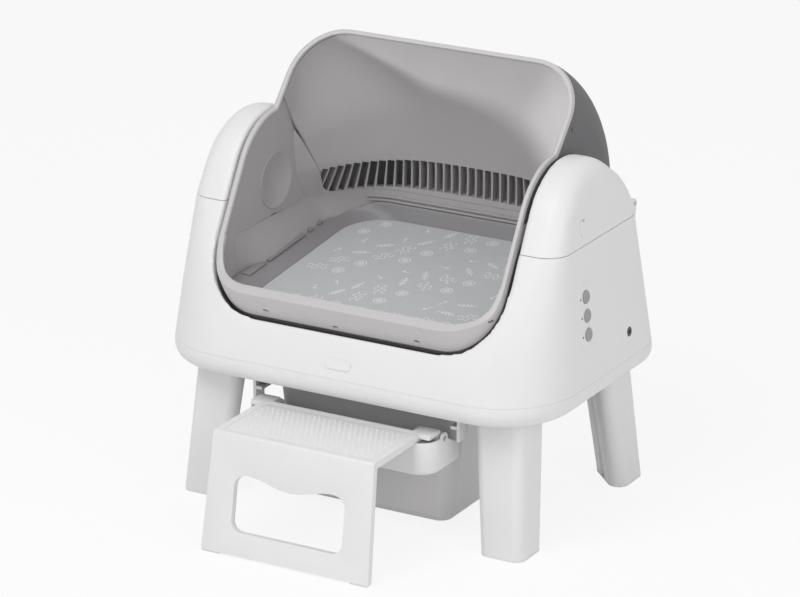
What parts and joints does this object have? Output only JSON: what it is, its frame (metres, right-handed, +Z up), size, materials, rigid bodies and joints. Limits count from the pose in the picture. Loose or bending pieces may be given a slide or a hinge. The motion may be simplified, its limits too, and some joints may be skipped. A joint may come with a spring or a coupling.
{
  "type": "self-cleaning litter box",
  "caption": "Self-cleaning litter box: white cradle on splayed legs, open grey drum that turns backwards, sieve at its back, waste drawer and fold-up step below",
  "frame": {"origin": "floor, at the middle of the whole outline seen from above, drawer shut", "axes": "+X to the right of someone who faces the step, along the drum's axle; +Y from the step to the back; +Z up"},
  "size_m": [0.5708, 0.5317, 0.5757],
  "materials": {
    "white_plastic": "fine matt moulding",
    "drum_plastic": "matt moulding",
    "pale_plastic": "matt moulding",
    "dark_plastic": "matt moulding",
    "button_plastic": "satin key caps",
    "lens_plastic": "clear light guides",
    "mat_rubber": "matt printed mat",
    "foot_rubber": "matt",
    "steel": "plain",
    "circuit_board": "solder mask"
  },
  "bodies": {
    "base": {"base_tray": "white_plastic", "body_shell": "white_plastic", "front_left_leg": "white_plastic", "front_right_leg": "white_plastic", "rear_left_leg": "white_plastic", "rear_right_leg": "white_plastic", "foot_pads": "foot_rubber", "badge_plate": "pale_plastic", "control_panel": "white_plastic", "indicator_lights": "lens_plastic", "control_board": "circuit_board", "dc_socket": "dark_plastic", "left_bearing": "dark_plastic", "right_bearing": "dark_plastic", "gearbox": "dark_plastic", "drive_motor": "steel", "load_cells": "steel", "left_drawer_rail": "white_plastic", "right_drawer_rail": "white_plastic", "chute_frame": "dark_plastic", "tray_screws": "steel", "cover_hinge_pins": "steel"},
    "drum": {"drum_shell": "drum_plastic", "rim_trim": "pale_plastic", "back_panel": "pale_plastic", "litter_pan": "drum_plastic", "litter_mat": "mat_rubber", "pan_clips": "drum_plastic", "left_hub": "drum_plastic", "right_hub": "drum_plastic", "drum_gear": "pale_plastic"},
    "pinion": {"drive_pinion": "steel"},
    "left_cover": {"left_ear_cover": "white_plastic"},
    "right_cover": {"right_ear_cover": "white_plastic"},
    "left_latch": {"left_cover_latch": "white_plastic"},
    "right_latch": {"right_cover_latch": "white_plastic"},
    "button_1": {"top_button": "button_plastic"},
    "button_2": {"middle_button": "button_plastic"},
    "button_3": {"bottom_button": "button_plastic"},
    "drawer": {"waste_bin": "pale_plastic", "drawer_front": "white_plastic", "step_hinge_pins": "steel"},
    "step_flap": {"step": "white_plastic", "step_tread": "white_plastic", "step_feet": "foot_rubber"}
  },
  "joints": [
    {"name": "drum_turn", "type": "hinge", "parent": "base", "child": "drum", "pos_m": [0, 0.058, 0.385], "axis": [-1, 0, 0], "range_deg": [-25, 200]},
    {"name": "pinion_spin", "type": "hinge", "parent": "base", "child": "pinion", "pos_m": [0.228, 0.058, 0.3038], "axis": [-1, 0, 0], "range_deg": [-575, 75]},
    {"name": "left_cover_swing", "type": "hinge", "parent": "base", "child": "left_cover", "pos_m": [-0.2395, 0.18495, 0.39], "axis": [-1, 0, 0], "range_deg": [0, 70]},
    {"name": "right_cover_swing", "type": "hinge", "parent": "base", "child": "right_cover", "pos_m": [0.2395, 0.18495, 0.39], "axis": [-1, 0, 0], "range_deg": [0, 70]},
    {"name": "left_latch_press", "type": "slide", "parent": "left_cover", "child": "left_latch", "axis": [0.9954, 0, -0.0958], "range_m": [0, 0.002], "stiffness_N_per_m": 400, "springref_m": -0.0005},
    {"name": "right_latch_press", "type": "slide", "parent": "right_cover", "child": "right_latch", "axis": [-0.9954, 0, -0.0958], "range_m": [0, 0.002], "stiffness_N_per_m": 400, "springref_m": -0.0005},
    {"name": "button_1_press", "type": "slide", "parent": "base", "child": "button_1", "axis": [-0.9954, 0, -0.0958], "range_m": [0, 0.0015], "stiffness_N_per_m": 400, "springref_m": -0.0005},
    {"name": "button_2_press", "type": "slide", "parent": "base", "child": "button_2", "axis": [-0.9954, 0, -0.0958], "range_m": [0, 0.0015], "stiffness_N_per_m": 400, "springref_m": -0.0005},
    {"name": "button_3_press", "type": "slide", "parent": "base", "child": "button_3", "axis": [-0.9954, 0, -0.0958], "range_m": [0, 0.0015], "stiffness_N_per_m": 400, "springref_m": -0.0005},
    {"name": "drawer_slide", "type": "slide", "parent": "base", "child": "drawer", "axis": [0, -1, 0], "range_m": [0, 0.25]},
    {"name": "step_lift", "type": "hinge", "parent": "drawer", "child": "step_flap", "pos_m": [0, -0.099, 0.143], "axis": [-1, 0, 0], "range_deg": [0, 30]}
  ],
  "couplings": [
    {"joint": "pinion_spin", "follows": "drum_turn", "ratio": -2.8571}
  ]
}
